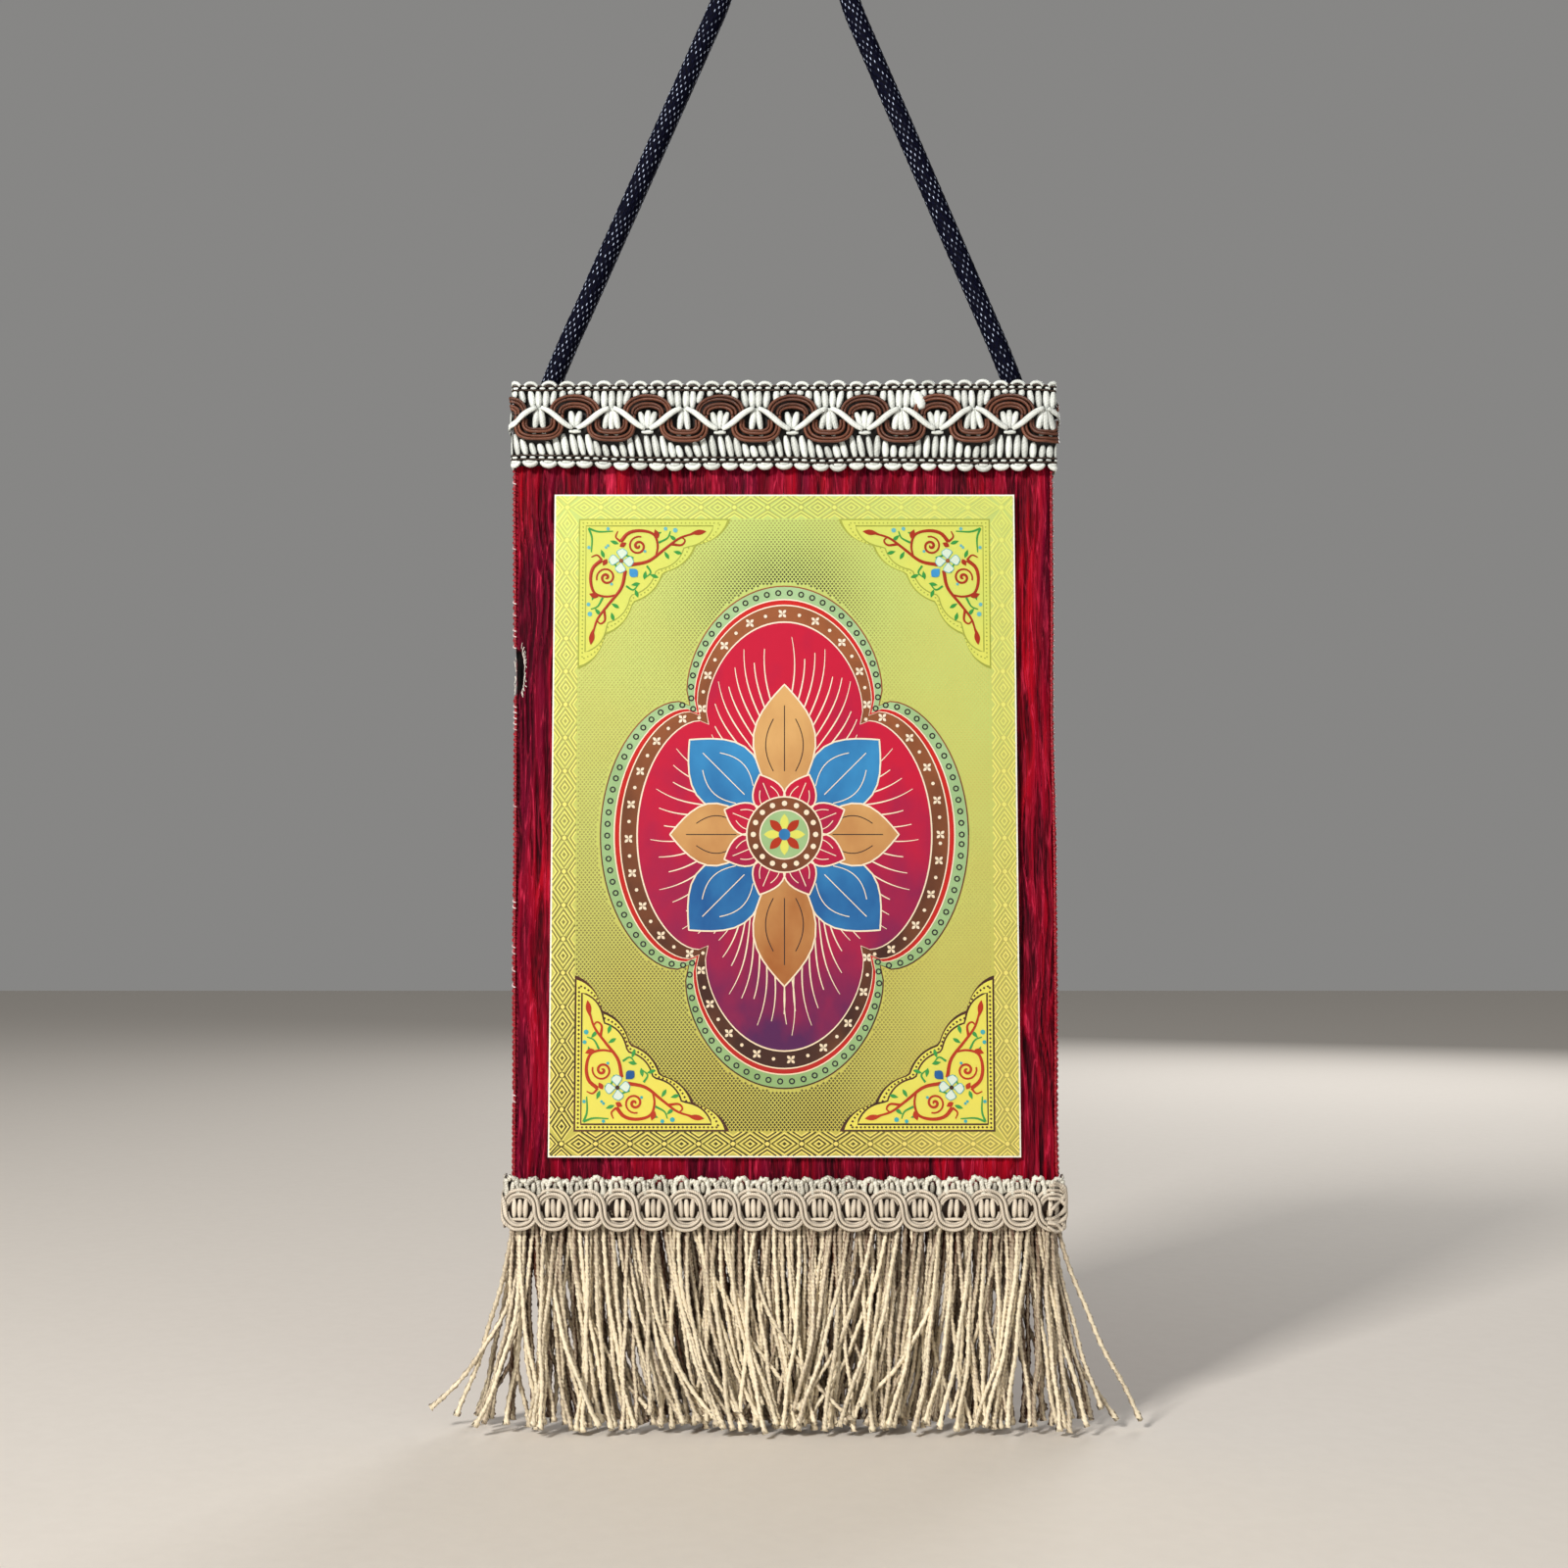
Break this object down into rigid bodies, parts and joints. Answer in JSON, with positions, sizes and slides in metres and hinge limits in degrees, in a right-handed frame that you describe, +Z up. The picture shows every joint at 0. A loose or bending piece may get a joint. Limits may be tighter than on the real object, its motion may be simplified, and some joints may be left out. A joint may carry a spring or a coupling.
{
  "type": "church banner",
  "caption": "Small hanging church banner: a crimson cloth panel with a gilt picture card, gimp braid, looped fringe and a navy hanging cord.",
  "frame": {"origin": "the inside of the hanging loop's top, where a peg or a hook carries the banner", "axes": "+Z up, +X to the right seen from the front, and the front faces -Y"},
  "size_m": [0.1491, 0.0104, 0.341],
  "materials": {
    "crimson_crinkle_cloth": "satin, crinkled",
    "gilt_card": "embossed gilt foil on card",
    "ivory_gimp": "satin",
    "silver_cream_braid": "satin",
    "cream_thread": "twisted yarn",
    "navy_cord": "braided cord"
  },
  "bodies": {
    "root": {"cloth": "crimson_crinkle_cloth", "picture_card": "gilt_card", "gimp_braid": "ivory_gimp", "fringe_header": "silver_cream_braid", "fringe": "cream_thread", "hanging_cord": "navy_cord"}
  },
  "joints": []
}
